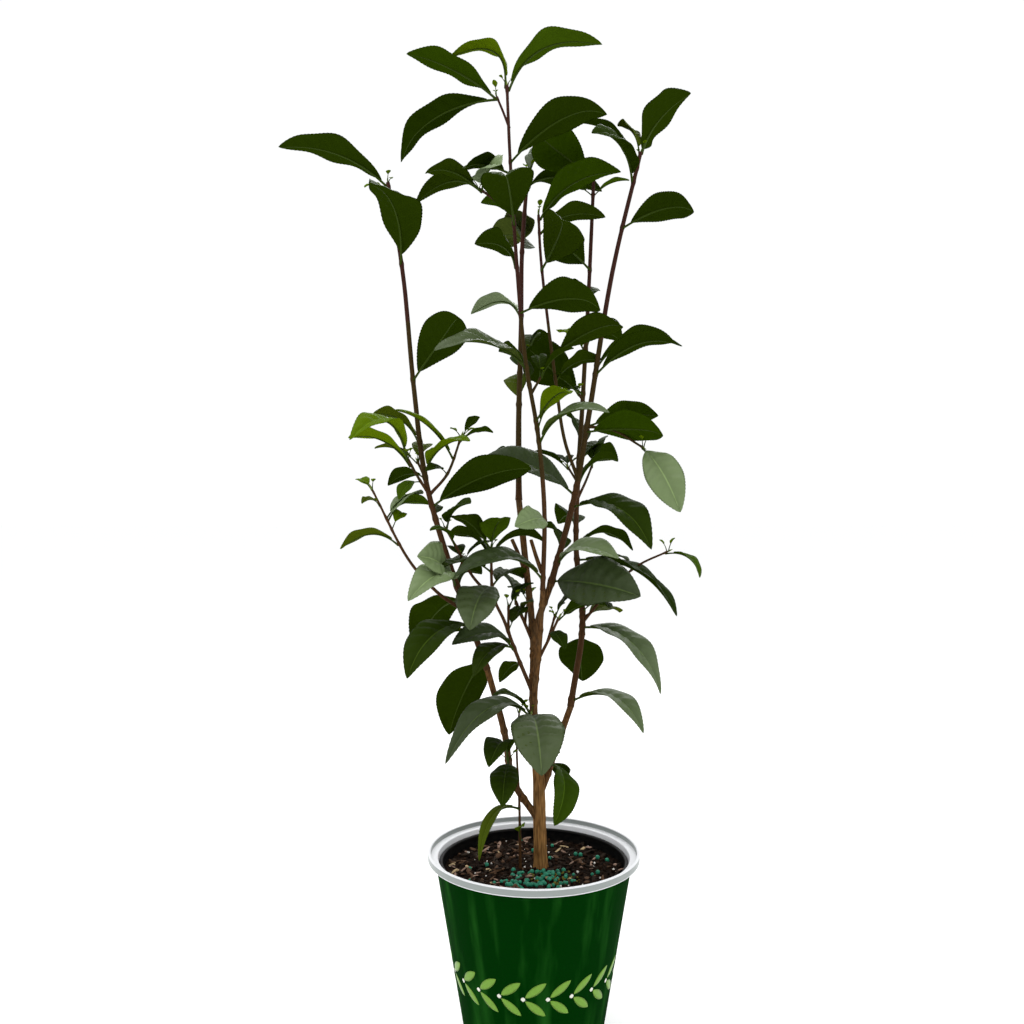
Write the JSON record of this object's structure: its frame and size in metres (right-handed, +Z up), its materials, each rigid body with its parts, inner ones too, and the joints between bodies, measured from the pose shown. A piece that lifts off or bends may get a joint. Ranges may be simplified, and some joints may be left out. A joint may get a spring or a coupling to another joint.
{
  "type": "potted tea bush",
  "caption": "Young tea bush with a forked trunk, upright boughs and sprays of long toothed leaves, growing in a tapering round pot with a stepped pale lip and a printed green face.",
  "frame": {"origin": "centre of the pot's flat underside, on the surface that it stands on", "axes": "+Z up along the pot's axis, -Y towards the front, the side that the picture shows, +X to the right of someone who faces the front"},
  "size_m": [0.35, 0.2303, 0.835],
  "materials": {
    "pot_plastic": "translucent whitish plastic, satin",
    "printed_plastic": "glossy deep green print",
    "liner_plastic": "satin black",
    "potting_soil": "damp, rough",
    "bark": "rough tan bark with a lengthwise grain",
    "bough_bark": "fine brown bark",
    "foliage": "leathery leaves, satin above and matt below"
  },
  "bodies": {
    "root": {"outer_pot": "pot_plastic", "printed_sleeve": "printed_plastic", "nursery_liner": "liner_plastic", "soil": "potting_soil", "trunk": "bark", "left_bough": "bough_bark", "leader_bough": "bough_bark", "back_bough": "bough_bark", "right_bough": "bough_bark", "far_bough": "bough_bark", "left_foliage": "foliage", "leader_foliage": "foliage", "back_foliage": "foliage", "right_foliage": "foliage", "far_foliage": "foliage", "fork_foliage": "foliage", "low_left_foliage": "foliage", "low_right_foliage": "foliage", "inner_left_foliage": "foliage", "inner_back_foliage": "foliage", "inner_right_foliage": "foliage", "sucker": "foliage"}
  },
  "joints": []
}
